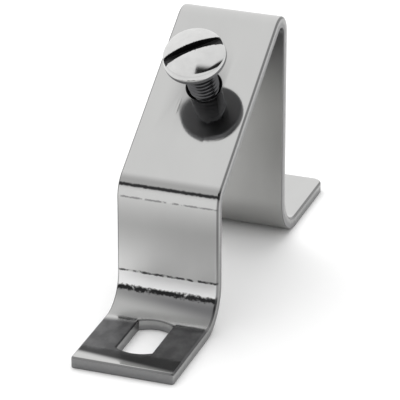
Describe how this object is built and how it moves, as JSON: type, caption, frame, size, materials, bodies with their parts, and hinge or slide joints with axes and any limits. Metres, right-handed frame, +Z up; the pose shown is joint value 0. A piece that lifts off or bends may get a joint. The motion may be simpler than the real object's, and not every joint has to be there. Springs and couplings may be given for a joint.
{
  "type": "slanted mounting rail bracket",
  "caption": "Steel strip bent into two flat feet, two legs and a slanted face, with a slotted fixing hole and a pan head screw that clamps a rail to the face.",
  "frame": {"origin": "on the floor plane under the middle of the whole part's box", "axes": "+Z up, +Y from the slotted front foot towards the rear foot, +X across the strip"},
  "size_m": [0.02, 0.089, 0.0517],
  "materials": {
    "plated_strip": "bright plated and polished, with press marks beside the bends",
    "plated_screw": "bright nickel plated, turned and rolled"
  },
  "bodies": {
    "bracket": {"bracket": "plated_strip"},
    "screw": {"screw": "plated_screw"}
  },
  "joints": [
    {"name": "screw_travel", "type": "slide", "parent": "bracket", "child": "screw", "axis": [0, -0.5446, 0.8387], "range_m": [-0.0085, 0.0015]}
  ]
}
